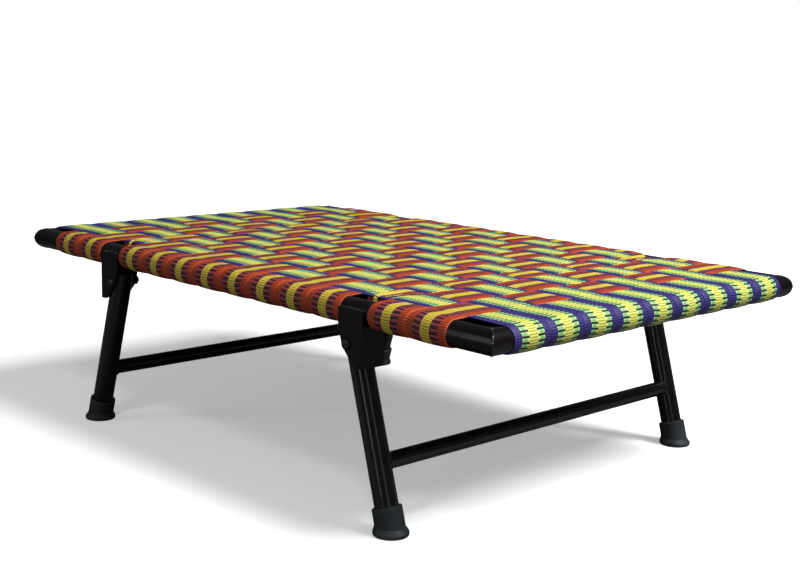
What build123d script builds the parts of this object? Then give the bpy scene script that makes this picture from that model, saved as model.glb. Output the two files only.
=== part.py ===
"""Folding pet cot: a steel tube frame on two folding leg pairs, woven with webbing tape.

Origin on the floor under the middle of the bed, X along the bed, Y across it, Z up, millimetres.
"""

import os
from math import cos, hypot, radians, sin, tan

from build123d import *

# Frame: the rails' centrelines make a rectangle
FRAME_LENGTH = 990.0
FRAME_WIDTH = 612.0
RAIL_HEIGHT = 273.0
TUBE_WALL = 1.5

# Legs, which swing between cheeks that stand astride the rails
LEG_OD = 31.0
CHEEK_PLAY = 0.5
RAIL_OD = LEG_OD + 2 * CHEEK_PLAY
PIVOT_X = 271.0
SPLAY = 16.7
LEG_ABOVE_PIVOT = 16.5
LEG_END_ABOVE_FLOOR = 11.0
SWING_CLEARANCE = 1.36
CROSSBAR_OD = 22.0
CROSSBAR_Z = 86.5

# Brackets: a folded channel under each long rail
BRACKET_WIDTH = 44.4
BRACKET_ABOVE_RAIL_AXIS = 6.0
BRACKET_BELOW_PIVOT = 27.5
STOP_CLEARANCE = 0.3
SHEET = 3.0

# Webbing tape
TAPE_PITCH = 63.5
TAPE_WIDTH = 62.0
TAPE_THICKNESS = 1.2
TAPE_GAP = 0.1
LAYER_STEP = 1.4
BRACKET_MARGIN = 6.8
CHEEK_MARGIN = 1.0
GAP_TAPE_MARGIN = 2.5

# Pivot bolts
BOLT_R = 4.0
BOLT_HEAD_R = 7.0
BOLT_HEAD_H = 4.5
NUT_FLATS = 13.0
NUT_H = 6.5
BOLT_TAIL = 2.5
RUNNING_CLEARANCE = 0.08

# Rubber feet: a collar round the leg, on a ring that lies level on the floor
FOOT_WALL = 4.0
FOOT_HEIGHT = 36.0
FOOT_RIM = 1.2
RING_OUT = 3.8
RING_HEIGHT = 5.0
RING_CHAMFER = 1.2
RING_SLOPE = 7.0
SLOPE_INSET = 0.5

# Derived sizes
HALF_L = FRAME_LENGTH / 2
HALF_W = FRAME_WIDTH / 2
RAIL_R = RAIL_OD / 2
LEG_R = LEG_OD / 2
SIN = sin(radians(SPLAY))
COS = cos(radians(SPLAY))
TAN = tan(radians(SPLAY))
PIVOT_Z = RAIL_HEIGHT - RAIL_R - hypot(LEG_ABOVE_PIVOT, LEG_R) - SWING_CLEARANCE
FLOOR_REACH = PIVOT_Z / COS
CROSSBAR_X = PIVOT_X + (PIVOT_Z - CROSSBAR_Z) * TAN
CHEEK_IN = HALF_W - RAIL_R - SHEET
CHEEK_OUT = HALF_W + RAIL_R + SHEET
BRACKET_TOP = RAIL_HEIGHT + BRACKET_ABOVE_RAIL_AXIS
BRACKET_BOTTOM = PIVOT_Z - BRACKET_BELOW_PIVOT
STOP_X = PIVOT_X + BRACKET_BELOW_PIVOT * TAN + LEG_R / COS + STOP_CLEARANCE
BRACKET_OUTER = STOP_X + SHEET
BRACKET_INNER = BRACKET_OUTER - BRACKET_WIDTH
MIDDLE_TAPES = 2 * int(BRACKET_INNER // TAPE_PITCH)
MIDDLE_HALF = MIDDLE_TAPES * TAPE_PITCH / 2
OUTER_START = BRACKET_OUTER + BRACKET_MARGIN
OUTER_TAPES = int((HALF_L - RAIL_OD - OUTER_START) // TAPE_PITCH)
LENGTHWISE_TAPES = int(2 * (CHEEK_IN - CHEEK_MARGIN) // TAPE_PITCH)
GAP_X = (MIDDLE_HALF + OUTER_START) / 2
GAP_TAPE_WIDTH = OUTER_START - MIDDLE_HALF - 2 * GAP_TAPE_MARGIN
CROSS_R = RAIL_R + TAPE_GAP
LENGTH_R = CROSS_R + LAYER_STEP
FOOT_R = LEG_R + FOOT_WALL
RING_R = FOOT_R + RING_OUT
SLOPE_TOP = RING_HEIGHT + RING_SLOPE

ENDS = {"left": -1, "right": 1}
SIDES = {"front": -1, "back": 1}
STANDING = (Align.CENTER, Align.CENTER, Align.MIN)

os.makedirs("parts", exist_ok=True)


def save(body, label):
    """Name a finished part and write its file."""
    body.label = label
    export_step(body, f"parts/{label}.step")


def cross_positions():
    """Centres along the bed of the tapes that run across it, left to right."""
    middle = [(i - (MIDDLE_TAPES - 1) / 2) * TAPE_PITCH for i in range(MIDDLE_TAPES)]
    outer = [OUTER_START + (i + 0.5) * TAPE_PITCH for i in range(OUTER_TAPES)]
    return [-x for x in reversed(outer)] + middle + outer


def length_positions():
    """Centres across the bed of the tapes that run along it, front to back."""
    return [(i - (LENGTHWISE_TAPES - 1) / 2) * TAPE_PITCH for i in range(LENGTHWISE_TAPES)]


# Long rails, mitred at both ends
REACH = RAIL_OD
for side, sy in SIDES.items():
    with BuildPart() as long_rail:
        with BuildSketch(Plane.YZ.offset(-HALF_L - RAIL_OD)):
            with Locations((sy * HALF_W, RAIL_HEIGHT)):
                Circle(RAIL_R)
                Circle(RAIL_R - TUBE_WALL, mode=Mode.SUBTRACT)
        extrude(amount=FRAME_LENGTH + 2 * RAIL_OD)
        with BuildSketch(Plane.XY.offset(RAIL_HEIGHT - RAIL_OD)):
            with BuildLine():
                Polyline(
                    (-HALF_L - REACH, sy * (HALF_W + REACH)),
                    (HALF_L + REACH, sy * (HALF_W + REACH)),
                    (HALF_L - REACH, sy * (HALF_W - REACH)),
                    (-HALF_L + REACH, sy * (HALF_W - REACH)),
                    close=True,
                )
            make_face()
        extrude(amount=2 * RAIL_OD, mode=Mode.INTERSECT)
    save(long_rail.part, f"{side}_rail")

# Short rails, mitred to meet the long ones
for end, sx in ENDS.items():
    with BuildPart() as short_rail:
        with BuildSketch(Plane.XZ.offset(-HALF_W - RAIL_OD)):
            with Locations((sx * HALF_L, RAIL_HEIGHT)):
                Circle(RAIL_R)
                Circle(RAIL_R - TUBE_WALL, mode=Mode.SUBTRACT)
        extrude(amount=FRAME_WIDTH + 2 * RAIL_OD)
        with BuildSketch(Plane.XY.offset(RAIL_HEIGHT - RAIL_OD)):
            with BuildLine():
                Polyline(
                    (sx * (HALF_L + REACH), -HALF_W - REACH),
                    (sx * (HALF_L + REACH), HALF_W + REACH),
                    (sx * (HALF_L - REACH), HALF_W - REACH),
                    (sx * (HALF_L - REACH), -HALF_W + REACH),
                    close=True,
                )
            make_face()
        extrude(amount=2 * RAIL_OD, mode=Mode.INTERSECT)
    save(short_rail.part, f"{end}_rail")

# Brackets: two cheeks astride the rail, a web on the outward side that stops the open leg
for side, sy in SIDES.items():
    for end, sx in ENDS.items():
        with BuildPart() as bracket:
            with BuildSketch(Plane.XZ.offset(-CHEEK_OUT)):
                with BuildLine():
                    Polyline(
                        (sx * BRACKET_INNER, BRACKET_TOP),
                        (sx * BRACKET_OUTER, BRACKET_TOP),
                        (sx * BRACKET_OUTER, BRACKET_BOTTOM),
                        (sx * (BRACKET_OUTER - 13), BRACKET_BOTTOM),
                        (sx * (PIVOT_X - 8.5), PIVOT_Z - 4),
                        (sx * BRACKET_INNER, PIVOT_Z + 22),
                        close=True,
                    )
                make_face()
            extrude(amount=2 * CHEEK_OUT)
            taper = bracket.edges().filter_by(Axis.Y)
            inward = [e for e in taper if e.center().Z < BRACKET_TOP - 1]
            inward = [e for e in inward if abs(e.center().X) < BRACKET_OUTER - 1]
            fillet(inward, 9)
            with BuildSketch(Plane.XY):
                with Locations((sx * PIVOT_X, sy * HALF_W)):
                    Rectangle(2 * BRACKET_WIDTH, CHEEK_OUT - CHEEK_IN)
            extrude(amount=2 * RAIL_HEIGHT, mode=Mode.INTERSECT)
            with BuildSketch(Plane.XY):
                with Locations((sx * (STOP_X - BRACKET_WIDTH), sy * HALF_W)):
                    Rectangle(2 * BRACKET_WIDTH, RAIL_OD)
            extrude(amount=2 * RAIL_HEIGHT, mode=Mode.SUBTRACT)
            with BuildSketch(Plane.XY.offset(RAIL_HEIGHT - RAIL_R)):
                with Locations((sx * PIVOT_X, sy * HALF_W)):
                    Rectangle(2 * BRACKET_WIDTH, RAIL_OD)
            extrude(amount=2 * RAIL_OD, mode=Mode.SUBTRACT)
            with BuildSketch(Plane.XZ.offset(-CHEEK_OUT)):
                with Locations((sx * PIVOT_X, PIVOT_Z)):
                    Circle(BOLT_R)
            extrude(amount=2 * CHEEK_OUT, mode=Mode.SUBTRACT)
        save(bracket.part, f"bracket_{side}_{end}")

# Pivot bolts, round-headed, one through each bracket with the head outside
with BuildPart() as pivot_bolts:
    for sy in SIDES.values():
        for sx in ENDS.values():
            face = Plane(
                origin=(sx * PIVOT_X, sy * CHEEK_OUT, PIVOT_Z),
                x_dir=(1, 0, 0),
                z_dir=(0, sy, 0),
            )
            with BuildSketch(face):
                Circle(BOLT_HEAD_R)
            extrude(amount=BOLT_HEAD_H)
            with BuildSketch(face):
                Circle(BOLT_R)
            extrude(amount=-(CHEEK_OUT - CHEEK_IN + NUT_H + BOLT_TAIL))
    rims = [e for e in pivot_bolts.edges() if abs(e.center().Y) > CHEEK_OUT + BOLT_HEAD_H - 0.1]
    rims = [e for e in rims if e.geom_type == GeomType.CIRCLE]
    fillet(rims, 3.6)
save(pivot_bolts.part, "pivot_bolts")

# Nuts inside the brackets
with BuildPart() as pivot_nuts:
    for sy in SIDES.values():
        for sx in ENDS.values():
            face = Plane(
                origin=(sx * PIVOT_X, sy * CHEEK_IN, PIVOT_Z),
                x_dir=(1, 0, 0),
                z_dir=(0, -sy, 0),
            )
            with BuildSketch(face):
                RegularPolygon(radius=NUT_FLATS / 2, side_count=6, major_radius=False)
                Circle(BOLT_R, mode=Mode.SUBTRACT)
            extrude(amount=NUT_H)
save(pivot_nuts.part, "pivot_nuts")

# Legs, crossbars and feet
for end, sx in ENDS.items():
    for side, sy in SIDES.items():
        down_leg = Plane(
            origin=(sx * PIVOT_X, sy * HALF_W, PIVOT_Z),
            x_dir=(0, 1, 0),
            z_dir=(sx * SIN, 0, -COS),
        )
        with BuildPart() as leg:
            with BuildSketch(down_leg.offset(-LEG_ABOVE_PIVOT)):
                Circle(LEG_R)
                Circle(LEG_R - TUBE_WALL, mode=Mode.SUBTRACT)
            extrude(amount=LEG_ABOVE_PIVOT + FLOOR_REACH - LEG_END_ABOVE_FLOOR)
            with BuildSketch(Plane.XZ.offset(-HALF_W - RAIL_OD)):
                with Locations((sx * PIVOT_X, PIVOT_Z)):
                    Circle(BOLT_R + RUNNING_CLEARANCE)
            extrude(amount=FRAME_WIDTH + 2 * RAIL_OD, mode=Mode.SUBTRACT)
        save(leg.part, f"leg_{side}_{end}")

        through_axis = Plane(
            origin=(sx * PIVOT_X, sy * HALF_W, PIVOT_Z),
            x_dir=(sx * SIN, 0, -COS),
            z_dir=(0, 1, 0),
        )
        collar_top = FLOOR_REACH - FOOT_HEIGHT
        below_floor = FLOOR_REACH + FOOT_R
        ring_x = sx * (PIVOT_X + (PIVOT_Z - RING_HEIGHT) * TAN)
        slope_x = sx * (PIVOT_X + (PIVOT_Z - SLOPE_TOP) * TAN)
        with BuildPart() as foot:
            with BuildSketch(through_axis):
                with BuildLine():
                    Polyline(
                        (collar_top, 0),
                        (collar_top, FOOT_R - FOOT_RIM),
                        (collar_top + FOOT_RIM, FOOT_R),
                        (below_floor, FOOT_R),
                        (below_floor, 0),
                        close=True,
                    )
                make_face()
            revolve(axis=Axis((sx * PIVOT_X, sy * HALF_W, PIVOT_Z), (sx * SIN, 0, -COS)))
            with BuildSketch(Plane.XY):
                Rectangle(2 * FRAME_LENGTH, 2 * FRAME_WIDTH)
            extrude(amount=2 * FOOT_HEIGHT, mode=Mode.INTERSECT)
            with Locations((ring_x, sy * HALF_W, 0)):
                Cone(RING_R - RING_CHAMFER, RING_R, RING_CHAMFER, align=STANDING)
            with Locations((ring_x, sy * HALF_W, RING_CHAMFER)):
                Cylinder(RING_R, RING_HEIGHT - RING_CHAMFER, align=STANDING)
            with BuildSketch(Plane.XY.offset(RING_HEIGHT)):
                with Locations((ring_x, sy * HALF_W)):
                    Circle(RING_R)
            with BuildSketch(Plane.XY.offset(SLOPE_TOP)):
                with Locations((slope_x, sy * HALF_W)):
                    Ellipse(FOOT_R / COS - SLOPE_INSET, FOOT_R - SLOPE_INSET)
            loft()
            with BuildSketch(down_leg.offset(collar_top)):
                Circle(LEG_R)
            extrude(amount=FOOT_HEIGHT - LEG_END_ABOVE_FLOOR, mode=Mode.SUBTRACT)
        save(foot.part, f"foot_{side}_{end}")

    with BuildPart() as crossbar:
        with BuildSketch(Plane.XZ.offset(-HALF_W)):
            with Locations((sx * CROSSBAR_X, CROSSBAR_Z)):
                Circle(CROSSBAR_OD / 2)
                Circle(CROSSBAR_OD / 2 - TUBE_WALL, mode=Mode.SUBTRACT)
        extrude(amount=FRAME_WIDTH)
        for sy in SIDES.values():
            leg_axis = Plane(
                origin=(sx * PIVOT_X, sy * HALF_W, PIVOT_Z),
                x_dir=(0, 1, 0),
                z_dir=(sx * SIN, 0, -COS),
            )
            with BuildSketch(leg_axis):
                Circle(LEG_R)
            extrude(amount=FLOOR_REACH, mode=Mode.SUBTRACT)
    save(crossbar.part, f"crossbar_{end}")

# Tapes across the bed: top runs
TOP = RAIL_HEIGHT + CROSS_R
BOTTOM = RAIL_HEIGHT - CROSS_R - TAPE_THICKNESS
for number, x in enumerate(cross_positions(), start=1):
    with BuildPart() as cross_tape:
        with BuildSketch(Plane.XY.offset(TOP)):
            with Locations((x, 0)):
                Rectangle(TAPE_WIDTH, FRAME_WIDTH)
        extrude(amount=TAPE_THICKNESS)
    save(cross_tape.part, f"cross_tape_{number:02d}")

# Tapes along the bed: top runs, one layer higher
for number, y in enumerate(length_positions(), start=1):
    with BuildPart() as length_tape:
        with BuildSketch(Plane.XY.offset(TOP + LAYER_STEP)):
            with Locations((0, y)):
                Rectangle(FRAME_LENGTH, TAPE_WIDTH)
        extrude(amount=TAPE_THICKNESS)
    save(length_tape.part, f"length_tape_{number:02d}")

# The two narrow tapes level with the brackets stop behind the rails
GAP_REACH = CHEEK_IN - 3.0
for end, sx in ENDS.items():
    with BuildPart() as gap_tape:
        with BuildSketch(Plane.XY.offset(TOP)):
            with Locations((sx * GAP_X, 0)):
                Rectangle(GAP_TAPE_WIDTH, 2 * GAP_REACH)
        extrude(amount=TAPE_THICKNESS)
    save(gap_tape.part, f"gap_tape_{end}")

# Their turned-down ends
with BuildPart() as gap_tape_ends:
    with BuildSketch(Plane.XY.offset(BOTTOM + TAPE_THICKNESS)):
        for sx in ENDS.values():
            for sy in SIDES.values():
                with Locations((sx * GAP_X, sy * (GAP_REACH - TAPE_THICKNESS / 2))):
                    Rectangle(GAP_TAPE_WIDTH, TAPE_THICKNESS)
    extrude(amount=TOP - BOTTOM - TAPE_THICKNESS)
save(gap_tape_ends.part, "gap_tape_ends")

# Underside runs of the same tapes
with BuildPart() as cross_returns:
    with BuildSketch(Plane.XY.offset(BOTTOM)):
        for x in cross_positions():
            with Locations((x, 0)):
                Rectangle(TAPE_WIDTH, FRAME_WIDTH)
        for sx in ENDS.values():
            with Locations((sx * GAP_X, 0)):
                Rectangle(GAP_TAPE_WIDTH, 2 * GAP_REACH)
    extrude(amount=TAPE_THICKNESS)
save(cross_returns.part, "cross_tape_returns")

with BuildPart() as length_returns:
    with BuildSketch(Plane.XY.offset(BOTTOM - LAYER_STEP)):
        for y in length_positions():
            with Locations((0, y)):
                Rectangle(FRAME_LENGTH, TAPE_WIDTH)
    extrude(amount=TAPE_THICKNESS)
save(length_returns.part, "length_tape_returns")

# Where the tapes turn round the outside of the rails
for side, sy in SIDES.items():
    with BuildPart() as cross_wraps:
        for x in cross_positions():
            with BuildSketch(Plane.YZ.offset(x - TAPE_WIDTH / 2)):
                with Locations((sy * HALF_W, RAIL_HEIGHT)):
                    Circle(CROSS_R + TAPE_THICKNESS)
                    Circle(CROSS_R, mode=Mode.SUBTRACT)
                with Locations((sy * (HALF_W - RAIL_OD), RAIL_HEIGHT)):
                    Rectangle(2 * RAIL_OD, 2 * RAIL_OD, mode=Mode.SUBTRACT)
            extrude(amount=TAPE_WIDTH)
    save(cross_wraps.part, f"cross_tape_wraps_{side}")

for end, sx in ENDS.items():
    with BuildPart() as length_wraps:
        for y in length_positions():
            with BuildSketch(Plane.XZ.offset(-y - TAPE_WIDTH / 2)):
                with Locations((sx * HALF_L, RAIL_HEIGHT)):
                    Circle(LENGTH_R + TAPE_THICKNESS)
                    Circle(LENGTH_R, mode=Mode.SUBTRACT)
                with Locations((sx * (HALF_L - RAIL_OD), RAIL_HEIGHT)):
                    Rectangle(2 * RAIL_OD, 2 * RAIL_OD, mode=Mode.SUBTRACT)
            extrude(amount=TAPE_WIDTH)
    save(length_wraps.part, f"length_tape_wraps_{end}")
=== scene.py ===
"""Looks of the folding webbing pet bed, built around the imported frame. Metres, Z up."""

import math

import bpy
import numpy as np
from mathutils import Matrix, Vector


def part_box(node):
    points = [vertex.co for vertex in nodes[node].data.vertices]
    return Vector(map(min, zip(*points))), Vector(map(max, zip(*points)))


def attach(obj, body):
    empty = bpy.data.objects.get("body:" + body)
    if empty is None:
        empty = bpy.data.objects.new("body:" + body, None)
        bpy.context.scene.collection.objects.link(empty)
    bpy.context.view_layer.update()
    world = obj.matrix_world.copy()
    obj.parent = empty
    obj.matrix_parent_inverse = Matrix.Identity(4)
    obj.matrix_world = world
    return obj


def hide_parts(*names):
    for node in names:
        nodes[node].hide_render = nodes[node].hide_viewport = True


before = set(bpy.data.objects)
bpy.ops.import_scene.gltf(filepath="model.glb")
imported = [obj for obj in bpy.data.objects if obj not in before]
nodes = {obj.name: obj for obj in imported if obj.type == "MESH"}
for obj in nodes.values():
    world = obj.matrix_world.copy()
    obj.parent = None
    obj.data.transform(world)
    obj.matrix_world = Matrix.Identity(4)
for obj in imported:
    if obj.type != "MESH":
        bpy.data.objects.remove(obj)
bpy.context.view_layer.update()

MM = 0.001
ENDS = {"left": -1, "right": 1}
SIDES = {"front": -1, "back": 1}


def corners(node):
    """A CAD node's lowest and highest corners."""
    low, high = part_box(node)
    return Vector(low), Vector(high)


def middle(node):
    low, high = corners(node)
    return (low + high) / 2


# ---------------------------------------------------------------- camera and light

CAMERA_AT = (1.46368, -1.39345, 0.59361)
CAMERA_LOOK = (-0.70575, 0.68561, -0.17849)
CAMERA_UP = (-0.14643, 0.10533, 0.98360)
CAMERA_LENS = 59.38
SENSOR_WIDTH = 36
CLIP_START = 0.02
CLIP_END = 40

scene = bpy.context.scene
camera = bpy.data.objects.new("camera", bpy.data.cameras.new("camera"))
scene.collection.objects.link(camera)
look = Vector(CAMERA_LOOK).normalized()
right = look.cross(Vector(CAMERA_UP)).normalized()
turn = Matrix((right, right.cross(look), -look)).transposed()
camera.matrix_world = Matrix.Translation(CAMERA_AT) @ turn.to_4x4()
camera.data.lens = CAMERA_LENS
camera.data.sensor_width = SENSOR_WIDTH
camera.data.clip_start = CLIP_START
camera.data.clip_end = CLIP_END
scene.camera = camera
scene.view_settings.view_transform = "Standard"


def area_light(name, at, target, size, power):
    light = bpy.data.lights.new(name, "AREA")
    light.shape = "RECTANGLE"
    light.size, light.size_y = size
    light.energy = power
    lamp = bpy.data.objects.new(name, light)
    scene.collection.objects.link(lamp)
    lamp.location = at
    lamp.rotation_euler = (Vector(target) - Vector(at)).to_track_quat("-Z", "Y").to_euler()


NEAR_LEG = (0.34, -0.3, 0.12)

area_light("key", (1.9, 0.6, 2.6), (0.1, 0, 0.2), (1.3, 1.3), 235)
area_light("shoulder", (1.2, -1.7, 2.8), (0.2, 0, 0.25), (0.5, 0.5), 20)
area_light("leg_strip", (-1.2, -2.2, 0.9), (0, 0, 0.15), (0.07, 1.6), 9)
area_light("near_strip", (0.84, -2.04, 0.6), NEAR_LEG, (0.06, 1.2), 3.5)
area_light("right_strip", (2.3, -0.9, 0.6), NEAR_LEG, (0.05, 1.2), 2.0)

# The studio looks brighter to the camera than the light it throws on the bed, as a
# white sweep does behind a shaded product.
BACKDROP = 1.0
FILL = 0.12
world = bpy.data.worlds.new("studio")
scene.world = world
world.use_nodes = True
sky = world.node_tree.nodes["Background"]
ray = world.node_tree.nodes.new("ShaderNodeLightPath")
level = world.node_tree.nodes.new("ShaderNodeMapRange")
level.inputs["To Min"].default_value = FILL
level.inputs["To Max"].default_value = BACKDROP
world.node_tree.links.new(ray.outputs["Is Camera Ray"], level.inputs["Value"])
world.node_tree.links.new(level.outputs[0], sky.inputs["Strength"])
sky.inputs["Color"].default_value = (1, 1, 1, 1)


# ---------------------------------------------------------------- materials


class Shader:
    """A Principled material and short calls that add nodes to it."""

    def __init__(self, name, roughness=0.5, metallic=0.0, **sockets):
        self.material = bpy.data.materials.new(name)
        self.material.use_nodes = True
        self.tree = self.material.node_tree
        self.surface = self.tree.nodes["Principled BSDF"]
        self.put(self.surface, "Roughness", roughness)
        self.put(self.surface, "Metallic", metallic)
        for socket, value in sockets.items():
            self.put(self.surface, socket.replace("_", " "), value)

    def put(self, node, socket, value):
        if isinstance(value, bpy.types.NodeSocket):
            self.tree.links.new(value, node.inputs[socket])
        else:
            node.inputs[socket].default_value = value

    def node(self, kind, out, settings=None, **sockets):
        made = self.tree.nodes.new("ShaderNode" + kind)
        for key, value in (settings or {}).items():
            setattr(made, key, value)
        for socket, value in sockets.items():
            self.put(made, socket.replace("_", " "), value)
        return made.outputs[out]

    def math(self, operation, *values):
        made = self.tree.nodes.new("ShaderNodeMath")
        made.operation = operation
        for i, value in enumerate(values):
            self.put(made, i, value)
        return made.outputs[0]

    def step(self, value, low, high):
        """0 at low and 1 at high, smooth between them. Low may be the larger one."""
        made = self.tree.nodes.new("ShaderNodeMapRange")
        made.interpolation_type = "SMOOTHSTEP"
        self.put(made, "Value", value)
        self.put(made, "From Min", low)
        self.put(made, "From Max", high)
        return made.outputs[0]

    def mix(self, factor, first, second, blend="MIX"):
        made = self.tree.nodes.new("ShaderNodeMix")
        made.data_type = "RGBA"
        made.blend_type = blend
        self.put(made, 0, factor)
        self.put(made, 6, first)
        self.put(made, 7, second)
        return made.outputs[2]

    def tint(self, colour, other, mask, share):
        """Lays this share of the other colour over a colour, where the mask is 1."""
        return self.mix(self.math("MULTIPLY", mask, share), colour, other)

    def place(self):
        return self.node("TexCoord", "Object")

    def noise(self, scale, detail, rough=0.5):
        return self.node(
            "TexNoise",
            "Fac",
            Vector=self.place(),
            Scale=scale,
            Detail=detail,
            Roughness=rough,
        )

    def bump(self, height, distance, strength):
        made = self.tree.nodes.new("ShaderNodeBump")
        self.put(made, "Height", height)
        self.put(made, "Distance", distance)
        self.put(made, "Strength", strength)
        return made.outputs[0]

    def finish(self, colour=None, roughness=None, normal=None):
        for socket, value in (
            ("Base Color", colour),
            ("Roughness", roughness),
            ("Normal", normal),
        ):
            if value is not None:
                self.put(self.surface, socket, value)
        return self.material


def rgb(r, g, b):
    return (r, g, b, 1.0)


# Linear colours. Where there are two, they are the darker and lighter end of a mix. For YELLOW,
# ORANGE, LIME and BLUE that mix is painted shade in the rib grooves and painted light on the rib
# crests, and the two crest colours are painted highlights on the crests' tops.
FRAME_BLACK = rgb(0.0024, 0.0016, 0.0026), rgb(0.0050, 0.0036, 0.0050)
BRACKET_BLACK = rgb(0.0042, 0.0026, 0.0040), rgb(0.0090, 0.0060, 0.0085)
LEG_BLACK = rgb(0.0022, 0.0020, 0.0026), rgb(0.0055, 0.0050, 0.0058)
STEEL_DUST = rgb(0.035, 0.032, 0.033)
RUBBER_GREY = rgb(0.0085, 0.0108, 0.0125), rgb(0.017, 0.0215, 0.024)
FOOT_DUST = rgb(0.11, 0.11, 0.11)
BOLT_GREY = rgb(0.014, 0.013, 0.015), rgb(0.050, 0.047, 0.047)
WELD_BLACK = rgb(0.004, 0.003, 0.004), rgb(0.016, 0.013, 0.016)
# Light spots on the weld beads: bare-metal chips and painted glints.
WELD_CHIP_AND_GLINT = rgb(0.30, 0.29, 0.31)
WHITE = rgb(1, 1, 1)
TIRED = rgb(0.62, 0.60, 0.58)
YELLOW = rgb(0.22, 0.165, 0.010), rgb(0.44, 0.36, 0.030)
YELLOW_CREST_HIGHLIGHT = rgb(0.62, 0.56, 0.10)
YELLOW_HEM = rgb(0.52, 0.33, 0.11)
MAROON = rgb(0.018, 0.0035, 0.006), rgb(0.050, 0.0080, 0.018)
MAUVE = rgb(0.140, 0.026, 0.030), rgb(0.27, 0.062, 0.074)
ORANGE = rgb(0.175, 0.0190, 0.0050), rgb(0.27, 0.031, 0.0075)
ORANGE_STITCH = rgb(0.44, 0.070, 0.018)
ORANGE_HEM = rgb(0.50, 0.14, 0.055)
LIME = rgb(0.215, 0.220, 0.028), rgb(0.41, 0.42, 0.078)
LIME_CREST_HIGHLIGHT = rgb(0.56, 0.57, 0.19)
LADDER_BLACK = rgb(0.005, 0.012, 0.006)
GREEN = rgb(0.050, 0.160, 0.032), rgb(0.130, 0.300, 0.085)
RUNG_MIDDLE = rgb(0.34, 0.52, 0.26)
RUNG_TIP = rgb(0.46, 0.62, 0.38)
PALE_TOOTH = rgb(0.46, 0.54, 0.20)
BLUE = rgb(0.009, 0.006, 0.045), rgb(0.021, 0.014, 0.112)
BLUE_STITCH = rgb(0.045, 0.043, 0.25)
BLUE_HEM = rgb(0.075, 0.070, 0.26)

DULL = 0.2  # specular level of rubber, cloth and the painted beads
FOOT_DUST_TO = 9 * MM


def coated_steel(name, shades, roughness, gloss):
    """Black powder coat: fine orange peel, faint cloudiness and a little dust."""
    s = Shader(name, Specular_IOR_Level=gloss)
    peel = s.noise(scale=900, detail=2)
    cloud = s.noise(scale=14, detail=4, rough=0.6)
    scuff = s.step(s.noise(scale=60, detail=6, rough=0.7), low=0.60, high=0.78)
    colour = s.mix(s.step(cloud, low=0.35, high=0.75), *shades)
    colour = s.tint(colour, STEEL_DUST, scuff, share=0.2)
    rough = s.math("MULTIPLY_ADD", cloud, 0.16, roughness - 0.08)
    rough = s.math("MULTIPLY_ADD", scuff, 0.12, rough)
    return s.finish(colour, rough, s.bump(peel, distance=0.05 * MM, strength=0.6))


def foot_rubber():
    """Dark grey rubber, dusty near the floor."""
    s = Shader("foot_rubber", Specular_IOR_Level=DULL)
    grain = s.noise(scale=1500, detail=2)
    cloud = s.noise(scale=35, detail=5, rough=0.6)
    height = s.node("SeparateXYZ", "Z", Vector=s.place())
    dust = s.step(height, low=FOOT_DUST_TO, high=0.0)
    dust = s.math("MULTIPLY", dust, s.step(cloud, low=0.35, high=0.7))
    colour = s.mix(s.step(cloud, low=0.3, high=0.75), *RUBBER_GREY)
    colour = s.tint(colour, FOOT_DUST, dust, share=0.18)
    rough = s.math("MULTIPLY_ADD", cloud, 0.2, 0.5)
    return s.finish(colour, rough, s.bump(grain, distance=0.08 * MM, strength=0.5))


def bolt_steel():
    s = Shader("bolt_steel", metallic=0.9)
    cloud = s.noise(scale=300, detail=4, rough=0.6)
    colour = s.mix(cloud, *BOLT_GREY)
    rough = s.math("MULTIPLY_ADD", cloud, 0.25, 0.22)
    return s.finish(colour, rough, s.bump(cloud, distance=0.05 * MM, strength=0.4))


def weld_metal():
    """Painted bead with a few light spots, partly chips down to bright metal and partly painted
    glints.
    """
    s = Shader("weld_bead", Specular_IOR_Level=DULL)
    cloud = s.noise(scale=260, detail=4, rough=0.6)
    # Light spots: chips of bare metal, which also stand in as painted glints.
    chip_and_glint = s.step(s.noise(scale=190, detail=2), low=0.62, high=0.68)
    colour = s.tint(s.mix(cloud, *WELD_BLACK), WELD_CHIP_AND_GLINT, chip_and_glint, share=0.8)
    return s.finish(colour, 0.24, s.bump(cloud, distance=0.15 * MM, strength=0.6))


# The tape's pattern. Places are in mm from its middle, and a blur is half a line's width.
YELLOW_TO = 7.5
YELLOW_BLUR = 0.25
HEM_FROM = YELLOW_TO - 1.3
HEM_TO = YELLOW_TO - 0.8
TOOTH_FROM = 9.0
TOOTH_TO = 12.2
TIP_FROM = 18.0
TIP_TO = 19.0
RUNG_TO = 19.6
BORDER_FROM = 20.0
LADDER_TO = 20.6
LADDER_BLUR = 0.3
HALF_TAPE = 31.6
SELVEDGE_FROM = HALF_TAPE - 1.4
SELVEDGE_FULL = HALF_TAPE - 0.7
STITCH = 1.55  # one knitted stitch across the tape, mm
FRAY = 1.3  # how far the bands' edges stray, mm
FRAY_ALONG = 0.12  # how far the ribs' edges stray, in ribs
UV_SCALE = 100  # the tape map runs 100 mm across and 100 ribs along to its unit


def tape_coordinates(s):
    """Distance from the tape's middle in mm, and the count of ribs along it."""
    spot = s.node("UVMap", "UV", {"uv_map": "tape"})
    split = s.tree.nodes.new("ShaderNodeSeparateXYZ")
    s.put(split, 0, spot)
    across = s.math("MULTIPLY", split.outputs[0], UV_SCALE)
    along = s.math("MULTIPLY", split.outputs[1], UV_SCALE)
    return across, along


def wave(s, along):
    """1 at each whole number, 0 halfway between two."""
    part = s.math("FRACT", along)
    return s.math("MULTIPLY", s.math("ABSOLUTE", s.math("SUBTRACT", part, 0.5)), 2.0)


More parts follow.
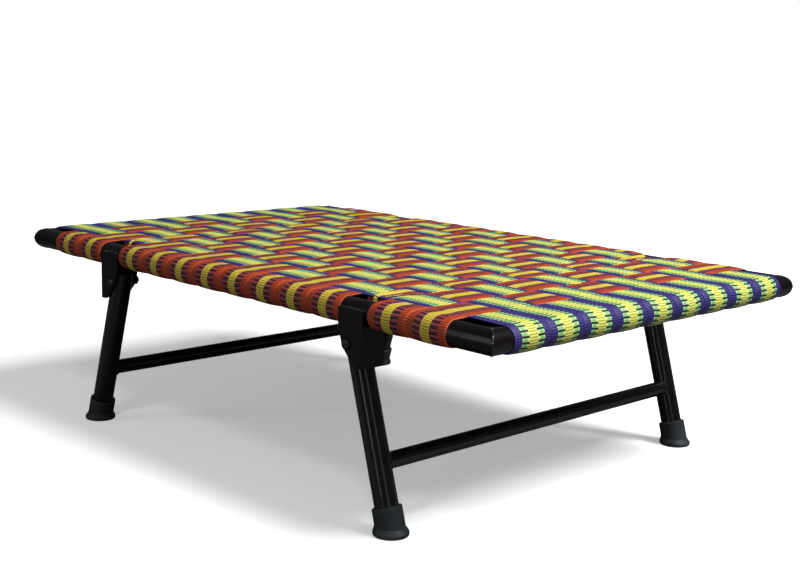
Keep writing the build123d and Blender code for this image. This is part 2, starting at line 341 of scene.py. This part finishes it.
def webbing(name):
    """The parts that both tapes share: their coordinates, ribs, stitches and fibres, and the
    masks that paint shade in the rib grooves and light and highlights on the crests.
    """
    s = Shader(name, Specular_IOR_Level=DULL)
    across, along = tape_coordinates(s)
    s.thread = s.noise(scale=2400, detail=2, rough=0.7)
    s.blotch = s.noise(scale=32, detail=4, rough=0.6)
    fray = s.math("SUBTRACT", s.noise(scale=380, detail=2), 0.5)
    s.edge = s.math("MULTIPLY_ADD", fray, FRAY, s.math("ABSOLUTE", across))
    s.rib = wave(s, s.math("MULTIPLY_ADD", fray, FRAY_ALONG, along))
    s.pair = wave(s, s.math("MULTIPLY", along, 0.5))
    s.knit = wave(s, s.math("DIVIDE", across, STITCH))
    # Masks for painted light: the first is 1 on the rib crests, which are painted lighter, and 0
    # in the grooves, which are painted darker as shade; the second marks the crests' tops for a
    # painted highlight.
    s.crest = s.step(s.rib, low=0.22, high=0.6)
    s.ridge = s.step(s.rib, low=0.75, high=1.0)
    return s


def finish_webbing(s, yellow, ladder, ground, hem):
    """Puts the three bands side by side, with worn patches, gloss and relief over them."""
    outside = s.step(s.edge, low=LADDER_TO - LADDER_BLUR, high=LADDER_TO + LADDER_BLUR)
    colour = s.mix(outside, ladder, ground)
    outside = s.step(s.edge, low=YELLOW_TO - YELLOW_BLUR, high=YELLOW_TO + YELLOW_BLUR)
    colour = s.mix(outside, yellow, colour)
    # Both edges of the tape are lighter, on the rib crests only.
    lighter_edge = s.step(s.edge, low=SELVEDGE_FROM, high=SELVEDGE_FULL)
    lighter_edge = s.math("MULTIPLY", lighter_edge, s.step(s.rib, low=0.3, high=0.7))
    colour = s.tint(colour, hem, lighter_edge, share=0.5)
    wear = s.tint(WHITE, TIRED, s.blotch, share=0.5)
    colour = s.mix(1.0, colour, wear, blend="MULTIPLY")
    height = s.math("MULTIPLY_ADD", s.knit, 0.35, s.math("MULTIPLY", s.thread, 0.7))
    height = s.math("ADD", height, s.rib)
    rough = s.math("MULTIPLY_ADD", s.thread, 0.22, 0.40)
    return s.finish(colour, rough, s.bump(height, distance=0.3 * MM, strength=0.8))


def cross_webbing():
    """Yellow middle, dashes of maroon and mauve beside it, orange outside."""
    s = webbing("cross_webbing")
    # Painted shade in the rib grooves, painted light on the crests and a painted highlight on
    # their tops.
    yellow = s.mix(s.crest, *YELLOW)
    yellow = s.tint(yellow, YELLOW_CREST_HIGHLIGHT, s.ridge, share=0.5)
    hem = s.step(s.edge, low=HEM_FROM, high=HEM_TO)
    yellow = s.tint(yellow, YELLOW_HEM, hem, share=0.6)
    dark = s.mix(s.step(s.thread, low=0.4, high=0.7), *MAROON)
    mauve = s.mix(s.step(s.thread, low=0.35, high=0.7), *MAUVE)
    dash = s.mix(s.step(s.pair, low=0.50, high=0.66), dark, mauve)
    # Painted shade in the rib grooves and painted light on the crests.
    ground = s.mix(s.crest, *ORANGE)
    stitch = s.step(s.rib, low=0.5, high=1.0)
    stitch = s.math("MULTIPLY", stitch, s.step(s.knit, low=0.35, high=0.9))
    ground = s.tint(ground, ORANGE_STITCH, stitch, share=0.6)
    return finish_webbing(s, yellow, dash, ground, ORANGE_HEM)


def length_webbing():
    """Lime middle, a ladder of green rungs on black beside it, violet-blue outside."""
    s = webbing("length_webbing")
    # Painted shade in the rib grooves, painted light on the crests and a painted highlight on
    # their tops.
    lime = s.mix(s.crest, *LIME)
    lime = s.tint(lime, LIME_CREST_HIGHLIGHT, s.ridge, share=0.5)
    green = s.mix(s.step(s.thread, low=0.35, high=0.65), *GREEN)
    green = s.tint(green, RUNG_MIDDLE, s.step(s.pair, low=0.95, high=0.80), share=0.35)
    green = s.tint(green, RUNG_TIP, s.step(s.edge, low=TIP_FROM, high=TIP_TO), share=0.55)
    green = s.tint(green, PALE_TOOTH, s.step(s.edge, low=TOOTH_TO, high=TOOTH_FROM), share=0.80)
    border = s.step(s.edge, low=RUNG_TO, high=BORDER_FROM)
    rung = s.step(s.pair, low=0.34, high=0.46)
    rung = s.math("MULTIPLY", rung, s.math("SUBTRACT", 1.0, border))
    ladder = s.mix(rung, LADDER_BLACK, green)
    # Painted shade in the rib grooves and painted light on the crests.
    ground = s.mix(s.crest, *BLUE)
    stitch = s.step(s.rib, low=0.35, high=0.9)
    stitch = s.math("MULTIPLY", stitch, s.step(s.knit, low=0.4, high=0.9))
    patchy = s.step(s.noise(scale=520, detail=2, rough=0.6), low=0.46, high=0.62)
    stitch = s.math("MULTIPLY", stitch, patchy)
    ground = s.tint(ground, BLUE_STITCH, stitch, share=0.65)
    return finish_webbing(s, lime, ladder, ground, BLUE_HEM)


FRAME_PAINT = coated_steel("frame_paint", FRAME_BLACK, roughness=0.27, gloss=0.12)
BRACKET_PAINT = coated_steel("bracket_paint", BRACKET_BLACK, roughness=0.34, gloss=0.10)
LEG_PAINT = coated_steel("leg_paint", LEG_BLACK, roughness=0.19, gloss=0.30)
RUBBER = foot_rubber()
BOLT = bolt_steel()
WELD = weld_metal()
CROSS = cross_webbing()
LENGTH = length_webbing()

for name, thing in nodes.items():
    if name.endswith("_rail"):
        finish = FRAME_PAINT
    elif name.startswith("bracket"):
        finish = BRACKET_PAINT
    elif name.startswith(("leg_", "crossbar")):
        finish = LEG_PAINT
    elif name.startswith("foot"):
        finish = RUBBER
    elif name.startswith("pivot"):
        finish = BOLT
    else:
        continue
    for holder in thing.material_slots:
        holder.material = finish


# ---------------------------------------------------------------- woven tapes

RIB_PITCH = 3.3 * MM
RIB_HEIGHT = 0.2 * MM
TAPE_THICK = 1.2 * MM
TAPE_SPREAD = 0.6 * MM
END_TAPE_SPREAD = 3.3 * MM
WEAVE_RISE = 1.05 * MM
WEAVE_LIFT = 0.7 * MM
ROUND_EDGE = 11 * MM
WRAP_CROWN = 1.3 * MM
RAIL_CLEARANCE = 0.1 * MM
FLAT_ENOUGH = 1e-6
SETTLE = 5 * MM  # how far inside the weave's edge, or a rail, a tape changes its lie

# Ribs bow and skew over the last stretch before a rail, by drawn amounts in mm
BOW_STRETCH = 90 * MM
BOW_LEAST = 0.6
BOW_MOST = 3.4
SKEW_MOST = 2.0

# Slow sideways drift and slow unevenness in height: size, and run for one radian
DRIFT = 0.6 * MM
DRIFT_RUN = 83 * MM
DRIFT_SHIFT = 160 * MM
SHORT_DRIFT = 0.35 * MM
SHORT_DRIFT_RUN = 31 * MM
SHORT_DRIFT_SHIFT = 70 * MM
WAVER = 0.25 * MM
WAVER_RUN = 37 * MM
WAVER_PHASE = 2.3
LENGTHWISE_FROM = 20  # tapes along the bed are numbered from here, for their waver

front_low, front_high = corners("front_rail")
RAIL_R = (front_high.z - front_low.z) / 2
RAIL_Z = (front_high.z + front_low.z) / 2
HALF_L = -middle("left_rail").x
HALF_W = -middle("front_rail").y
TURN_R = RAIL_R + RAIL_CLEARANCE + TAPE_THICK / 2

SEED = 11
draw = np.random.default_rng(SEED)
cross_names = sorted(n for n in nodes if n[:-2] == "cross_tape_")
length_names = sorted(n for n in nodes if n[:-2] == "length_tape_")
gap_names = ["gap_tape_left", "gap_tape_right"]
rows = sorted((middle(n).x, n) for n in cross_names + gap_names)
columns = sorted((middle(n).y, n) for n in length_names)


def span_of(node, axis):
    """A tape's two edges. The four end tapes have room to lie at their full width."""
    low, high = corners(node)
    first, last = low[axis] - TAPE_SPREAD, high[axis] + TAPE_SPREAD
    beyond = sum(abs(first) > abs(middle(gap).x) for gap in gap_names) if axis == 0 else 0
    if beyond == 0 or node in gap_names:
        return first, last
    outermost = node in (cross_names[0], cross_names[-1])
    grow = END_TAPE_SPREAD * (2 if outermost else 1)
    shift = END_TAPE_SPREAD if outermost else 0
    return (first - grow, last - shift) if first < 0 else (first + shift, last + grow)


def cell_edges(tapes, axis):
    """Where one tape's cells end and the next tape's begin."""
    spans = [span_of(n, axis) for _, n in tapes]
    inner = [(a[1] + b[0]) / 2 for a, b in zip(spans, spans[1:])]
    return np.array([spans[0][0], *inner, spans[-1][1]])


ROW_EDGES = cell_edges(rows, 0)
COLUMN_EDGES = cell_edges(columns, 1)


def bulge(place, edges):
    """Alternates from tape to tape between 1 and -1, and is 0 at their edges and outside."""
    k = np.clip(np.searchsorted(edges, place) - 1, 0, len(edges) - 2)
    depth = np.minimum(place - edges[k], edges[k + 1] - place)
    depth = np.clip(depth / ROUND_EDGE, 0, 1)
    return np.where(k % 2 == 0, 1, -1) * np.sin(depth * math.pi / 2)


def weave(x, y):
    """Above 0 where the tape across the bed is the upper one, in the top layer."""
    return -bulge(x, ROW_EDGES) * bulge(y, COLUMN_EDGES)


def smooth(value, low, high):
    t = np.clip((value - low) / (high - low), 0, 1)
    return t * t * (3 - 2 * t)


def make_mesh(name, points, faces, material, uv=None):
    mesh = bpy.data.meshes.new(name)
    mesh.from_pydata([tuple(p) for p in points], [], faces)
    mesh.materials.append(material)
    if uv is not None:
        layer = mesh.uv_layers.new(name="tape")
        layer.data.foreach_set("uv", np.asarray(uv, dtype=np.float32).ravel())
    mesh.shade_smooth()
    mesh.validate()
    mesh.update()
    thing = bpy.data.objects.new(name, mesh)
    scene.collection.objects.link(thing)
    return thing


# The tape's section: distance across as a share of its half-width, and depth in
# half-thicknesses, round its outer face and back along its inner face.
OUTER_FACE = [
    (-1.0, 0.0),
    (-0.985, 0.75),
    (-0.93, 1.0),
    (-0.80, 1.0),
    (-0.665, 1.0),
    (-0.45, 1.0),
    (-0.245, 1.0),
    (0.0, 1.0),
    (0.245, 1.0),
    (0.45, 1.0),
    (0.665, 1.0),
    (0.80, 1.0),
    (0.93, 1.0),
    (0.985, 0.75),
    (1.0, 0.0),
]
INNER_FACE = [
    (0.97, -0.9),
    (0.665, -1.0),
    (0.245, -1.0),
    (-0.245, -1.0),
    (-0.665, -1.0),
    (-0.97, -0.9),
]
SECTION = OUTER_FACE + INNER_FACE
EDGE_RIB = 0.4  # how much of the rib height the rounded edges keep


def rib_share(depth):
    """How strongly the ribs show at a depth of the section: full on the outer face only."""
    if depth >= 1:
        return 1.0
    return EDGE_RIB if depth > 0 else 0.0


def rib_signs(count):
    """Ribs and grooves by turns, one to a ring of the band."""
    return np.where(np.arange(count) % 2 == 0, 1, -1)[:, None]


def on_loop(s, reach):
    """Points s along a loop from the middle of the top run: run coordinate, height, normal."""
    run, arc = 2 * reach, math.pi * TURN_R
    s = (s + reach) % (2 * (run + arc))
    lower = s >= run + arc
    t = np.where(lower, s - run - arc, s)
    angle = np.clip(t - run, 0, arc) / TURN_R
    a = np.minimum(t, run) - reach + TURN_R * np.sin(angle)
    z = TURN_R * np.cos(angle)
    na, nz = np.sin(angle), np.cos(angle)
    flip = np.where(lower, -1, 1)
    return a * flip, RAIL_Z + z * flip, na * flip, nz * flip


def wander(run, side):
    """The woven tapes' slow sideways drift, shared by neighbours so that they never cross."""
    slow = DRIFT * np.sin(run / DRIFT_RUN + side / DRIFT_SHIFT)
    return slow + SHORT_DRIFT * np.sin(run / SHORT_DRIFT_RUN + side / SHORT_DRIFT_SHIFT + 1.0)


def rib_bend(straight, share, woven_to, reach):
    """How far the ribs bow and skew along a tape near each rail, drawn for this tape."""
    bow = draw.uniform(BOW_LEAST, BOW_MOST, 2) * MM
    skew = draw.uniform(-SKEW_MOST, SKEW_MOST, 2) * MM
    bend = np.where(straight > 0, bow[0], bow[1]) * share**2
    bend = bend + np.where(straight > 0, skew[0], skew[1]) * share
    near_rail = smooth(np.abs(straight), woven_to - BOW_STRETCH, reach - SETTLE)
    return np.sign(straight) * near_rail * bend


def woven_tape(node, number, lengthwise):
    """One tape as a closed band: over and under the others, round both rails and back."""
    first, last = span_of(node, 1 if lengthwise else 0)
    centre, half = (first + last) / 2, (last - first) / 2
    reach = HALF_L if lengthwise else HALF_W
    woven_to = (ROW_EDGES if lengthwise else COLUMN_EDGES)[-1]
    total = 2 * (2 * reach + math.pi * TURN_R)
    count = 2 * round(total / RIB_PITCH)
    share = np.array([u for u, _ in SECTION])
    depth = np.array([d for _, d in SECTION]) * TAPE_THICK / 2
    ribbed = np.array([rib_share(d) for _, d in SECTION])

    station = (np.arange(count) * total / count)[:, None] - reach
    straight = on_loop(station, reach)[0]
    a, z, na, nz = on_loop(station - rib_bend(straight, share, woven_to, reach), reach)
    side = centre + share * half + wander(a, centre)
    x, y = (a, side) if lengthwise else (side, a)
    over = weave(x, y) * (-1 if lengthwise else 1) * np.where(nz >= 0, 1, -1)

    flat = np.abs(na) < FLAT_ENOUGH
    inside = np.where(flat, 1 - smooth(np.abs(a), woven_to - SETTLE, reach), 0)
    waver = WAVER * np.sin(a / WAVER_RUN + WAVER_PHASE * number)
    lift = (WEAVE_LIFT + waver) * inside + WEAVE_RISE * over * flat
    crown = WRAP_CROWN * (1 - share**2) * (1 - inside)
    out = lift + crown + RIB_HEIGHT * rib_signs(count) * ribbed + depth
    run = a + na * out
    up = z + nz * out
    points = np.stack([run, side, up] if lengthwise else [side, run, up], -1).reshape(-1, 3)
    faces, uv = band_faces(count, share * half / MM, lengthwise)
    name = node.replace("_tape", "_webbing")
    tape = make_mesh(name, points, faces, LENGTH if lengthwise else CROSS, uv)
    return tape, total, 2 * half


def band_faces(count, across, flip):
    """Faces of a closed band of count rings, and their place on the tape for its pattern."""
    wide = len(across)
    faces, uv = [], []
    for i in range(count):
        n = (i + 1) % count
        for j in range(wide):
            k = (j + 1) % wide
            face = [(i, j, i), (i, k, i), (n, k, i + 1), (n, j, i + 1)]
            if flip:
                face.reverse()
            faces.append([ring * wide + column for ring, column, _ in face])
            uv.extend((across[column] / UV_SCALE, at / 2 / UV_SCALE) for _, column, at in face)
    return faces, uv


def finish_tape(tape, replaced):
    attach(tape, "frame")
    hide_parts(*replaced)


for number, (_, node) in enumerate(rows):
    if node in gap_names:
        continue
    tape, total, wide = woven_tape(node, number, False)
    shared = ["cross_tape_returns", "cross_tape_wraps_front", "cross_tape_wraps_back"]
    finish_tape(tape, [node, *shared])

for number, (_, node) in enumerate(columns):
    tape, total, wide = woven_tape(node, number + LENGTHWISE_FROM, True)
    shared = ["length_tape_returns", "length_tape_wraps_left", "length_tape_wraps_right"]
    finish_tape(tape, [node, *shared])


# The two tapes level with the brackets narrow to pleated ends, which turn down just
# inside the long rails.

GAP_TAPE_FULL = 62 * MM
PUCKER_HALF = 15 * MM
PUCKER_FROM = 62 * MM
PUCKER_TO = 4 * MM
GAP_CORNER = 7 * MM
GAP_INSET = 6 * MM
GAP_STEPS = 25
GAP_EDGE = 0.35  # thickness left at the two edges
GAP_DRIFT = 1.2 * MM  # sideways sway of the narrow ends
GAP_DRIFT_RUN = 29 * MM
PLEAT = 0.9 * MM
PLEAT_AT_ENDS = (2.9 * MM, 1.6 * MM)  # more at the ends: the left tape, the right tape
PLEAT_TURNS = 1.5
PLEAT_SWAY = 0.5
PLEAT_RUN = 41 * MM
PLEAT_LEVEL = 0.35  # how much of the pleats shows where the tape is neither over nor under
PLEAT_LEAST = 0.15
GAP_UP = TURN_R + WEAVE_LIFT  # the top run's height over the rails' middle


def gap_loop(s, reach):
    """A point of a bunched tape's loop: run coordinate, height, normal, and if it is below."""
    run, arc = 2 * reach, math.pi / 2 * GAP_CORNER
    drop = 2 * (GAP_UP - GAP_CORNER)
    half_loop = run + drop + 2 * arc
    below = s >= half_loop
    t = s - half_loop if below else s
    first_turn = (t - run) / GAP_CORNER
    last_turn = (t - run - arc - drop) / GAP_CORNER
    if t < run:
        a, up, na, nz = t - reach, GAP_UP, 0.0, 1.0
    elif t < run + arc:
        na, nz = math.sin(first_turn), math.cos(first_turn)
        a, up = reach + GAP_CORNER * na, GAP_UP - GAP_CORNER * (1 - nz)
    elif t < run + arc + drop:
        a, up, na, nz = reach + GAP_CORNER, GAP_UP - GAP_CORNER - (t - run - arc), 1.0, 0.0
    else:
        na, nz = math.cos(last_turn), -math.sin(last_turn)
        a, up = reach + GAP_CORNER * na, GAP_CORNER * (1 + nz) - GAP_UP
    turned = -1 if below else 1
    return a * turned, RAIL_Z + up * turned, na * turned, nz * turned, turned


def gap_tape(node, number):
    """A bunched tape as a closed band: flat in the weave, narrow and pleated at its ends."""
    low, high = corners(node)
    centre, half = (low.x + high.x) / 2, (high.x - low.x) / 2
    reach = high.y - GAP_INSET
    total = 2 * (2 * reach + 2 * (GAP_UP - GAP_CORNER) + math.pi * GAP_CORNER)
    count = 2 * round(total / RIB_PITCH)
    table = np.array([gap_loop(i * total / count, reach) for i in range(count)])
    a, z, na, nz, turned = (table[:, k][:, None] for k in range(5))

    spread = np.linspace(-1, 1, GAP_STEPS)
    pinch = smooth(np.abs(a), reach - PUCKER_FROM, reach - PUCKER_TO)
    width = half + (PUCKER_HALF - half) * pinch
    pleat = PLEAT + PLEAT_AT_ENDS[number] * pinch
    side = centre + spread * width + GAP_DRIFT * np.sin(a / GAP_DRIFT_RUN + number) * pinch
    sway = PLEAT_SWAY * np.sin(a / PLEAT_RUN + number)
    ripple = pleat * np.cos(spread * PLEAT_TURNS * math.pi + sway)
    over = weave(side, a + 0 * side) * turned
    shown = np.clip(PLEAT_LEVEL + (1 - PLEAT_LEVEL) * over + pinch, PLEAT_LEAST, 1)
    rise = WEAVE_RISE * over * (1 - pinch) + ripple * shown

    thick = np.ones(GAP_STEPS)
    thick[[0, -1]] = GAP_EDGE
    outer = rise + thick * TAPE_THICK / 2 + RIB_HEIGHT * rib_signs(count)
    inner = rise - thick * TAPE_THICK / 2
    out = np.concatenate([outer, inner[:, ::-1]], axis=1)
    side = np.concatenate([side, side[:, ::-1]], axis=1)
    points = np.stack([side, a + na * out, z + nz * out], -1).reshape(-1, 3)
    across = np.concatenate([spread, spread[::-1]]) * GAP_TAPE_FULL / 2 / MM
    faces, uv = band_faces(count, across, False)
    return make_mesh(node.replace("_tape", "_webbing"), points, faces, CROSS, uv), total


for number, node in enumerate(gap_names):
    tape, total = gap_tape(node, number)
    finish_tape(
        tape,
        [node, "gap_tape_ends", "cross_tape_returns"],
    )


# ---------------------------------------------------------------- weld beads


BEAD_SIDES = 10
BEAD_LUMP = 0.16
LUMP_STEP = 2.2
SLOW_LUMP = 0.4
SLOW_LUMP_STEP = 0.7
BEAD_END = 0.35  # an open bead's thickness at its ends
TAPER_PARTS = 4.0  # it tapers over the first and the last of this many parts
BEAD_SINK = 0.3 * MM  # how deep a bead's middle lies in the metal
UPRIGHT = 0.95
RING_STEPS = 72
BAR_STEPS = 48
LINE_STEPS = 30
LINE_MARGIN = 0.04
LINE_DROP = 0.2 * MM
SADDLE = 0.93  # the crossbar's beads follow the leg's curve, a little shallower
CORNER_BEAD = 1.0 * MM
BRACKET_BEAD = 1.7 * MM
BAR_BEAD = 1.6 * MM


def circle(steps):
    """Cosine and sine at even steps round a circle."""
    angles = [2 * math.pi * k / steps for k in range(steps)]
    return [(math.cos(w), math.sin(w)) for w in angles]


def across_of(ahead):
    """A direction across a bead: level, unless the bead runs upright."""
    if abs(ahead.z) > UPRIGHT:
        return ahead.orthogonal().normalized()
    return ahead.cross(Vector((0, 0, 1))).normalized()


def bead(name, line, radius, body, closed=True):
    """A weld bead: a lumpy round rope of metal along a line of points."""
    line = [Vector(p) for p in line]
    count = len(line)
    points, faces = [], []
    for i, at in enumerate(line):
        before = line[(i - 1) % count] if closed or i else line[i]
        after = line[(i + 1) % count] if closed or i < count - 1 else line[i]
        ahead = (after - before).normalized()
        flat = across_of(ahead)
        other = ahead.cross(flat)
        taper = 1.0
        if not closed:
            from_end = min(i, count - 1 - i) / count
            taper = BEAD_END + (1 - BEAD_END) * min(1.0, TAPER_PARTS * from_end)
        lump = math.sin(LUMP_STEP * i) + SLOW_LUMP * math.sin(SLOW_LUMP_STEP * i + 1)
        r = radius * taper * (1 + BEAD_LUMP * lump)
        for c, d in circle(BEAD_SIDES):
            points.append(at + flat * (r * c) + other * (r * d))
    for i in range(count if closed else count - 1):
        n = (i + 1) % count
        for k in range(BEAD_SIDES):
            m = (k + 1) % BEAD_SIDES
            ring = [(i, k), (i, m), (n, m), (n, k)]
            faces.append([row * BEAD_SIDES + column for row, column in ring])
    if not closed:
        faces.append(list(range(BEAD_SIDES))[::-1])
        faces.append([(count - 1) * BEAD_SIDES + k for k in range(BEAD_SIDES)])
    piece = make_mesh(name, points, faces, WELD)
    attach(piece, body)


def corner_weld(side, end):
    """The bead round a mitred corner of the rails."""
    sx, sy = ENDS[end], SIDES[side]
    r = RAIL_R - BEAD_SINK
    ring = [
        (sx * (HALF_L + r * c), sy * (HALF_W + r * c), RAIL_Z + r * d)
        for c, d in circle(RING_STEPS)
    ]
    bead(f"corner_weld_{side}_{end}", ring, CORNER_BEAD, "frame")


def bracket_weld(side, end, face):
    """The bead where a bracket's cheek meets the rail, on its outer or inner face."""
    low, high = corners(f"bracket_{side}_{end}")
    out = (RAIL_R - BEAD_SINK) * (1 if face == "outer" else -1)
    y = SIDES[side] * (HALF_W + out)
    shares = [LINE_MARGIN + (1 - 2 * LINE_MARGIN) * k / LINE_STEPS for k in range(LINE_STEPS + 1)]
    line = [(low.x + (high.x - low.x) * share, y, high.z - LINE_DROP) for share in shares]
    name = f"bracket_weld_{face}_{side}_{end}"
    bead(name, line, BRACKET_BEAD, "frame", closed=False)


def crossbar_weld(side, end):
    """The bead where a crossbar meets a leg."""
    bar_low, bar_high = corners(f"crossbar_{end}")
    bar_r = (bar_high.z - bar_low.z) / 2
    bar_x, bar_z = (bar_low.x + bar_high.x) / 2, (bar_low.z + bar_high.z) / 2
    leg_low, leg_high = corners(f"leg_front_{end}")
    leg_r = (leg_high.y - leg_low.y) / 2
    ring = []
    for c, d in circle(BAR_STEPS):
        beside = bar_r * c
        y = SIDES[side] * (HALF_W - math.sqrt(leg_r**2 - beside**2 * SADDLE))
        ring.append((bar_x + beside, y, bar_z + bar_r * d))
    bead(f"crossbar_weld_{side}_{end}", ring, BAR_BEAD, f"{end}_legs")


for side in SIDES:
    for end in ENDS:
        corner_weld(side, end)
        bracket_weld(side, end, "outer")
        bracket_weld(side, end, "inner")

for end in ENDS:
    for side in SIDES:
        crossbar_weld(side, end)


# ---------------------------------------------------------------- floor

FLOOR_HALF = 14.0
FLOOR_TONES = rgb(0.70, 0.70, 0.70), rgb(0.74, 0.74, 0.74)
FLOOR_BOUNCE = rgb(0.10, 0.10, 0.10)
GLOW = 0.36
GLOW_FAR = 0.65
GLOW_FROM = 0.7
GLOW_TO = 2.4

floor_mesh = bpy.data.meshes.new("floor")
floor_corners = [
    (-FLOOR_HALF, -FLOOR_HALF, 0),
    (FLOOR_HALF, -FLOOR_HALF, 0),
    (FLOOR_HALF, FLOOR_HALF, 0),
    (-FLOOR_HALF, FLOOR_HALF, 0),
]
floor_mesh.from_pydata(floor_corners, [], [(0, 1, 2, 3)])
floor = bpy.data.objects.new("floor", floor_mesh)
scene.collection.objects.link(floor)

# Like the studio, the floor looks brighter to the camera than what it throws back, and
# more so away from the bed.
shader = Shader("floor", roughness=0.55)
seen = shader.node("LightPath", "Is Camera Ray")
colour = shader.mix(shader.noise(scale=1.3, detail=2), *FLOOR_TONES)
floor_mesh.materials.append(shader.finish(shader.mix(seen, FLOOR_BOUNCE, colour)))
away = shader.node("VectorMath", "Value", {"operation": "LENGTH"}, Vector=shader.place())
glow = shader.math("MULTIPLY_ADD", shader.step(away, GLOW_FROM, GLOW_TO), GLOW_FAR, GLOW)
shader.put(shader.surface, "Emission Color", WHITE)
shader.put(shader.surface, "Emission Strength", shader.math("MULTIPLY", seen, glow))
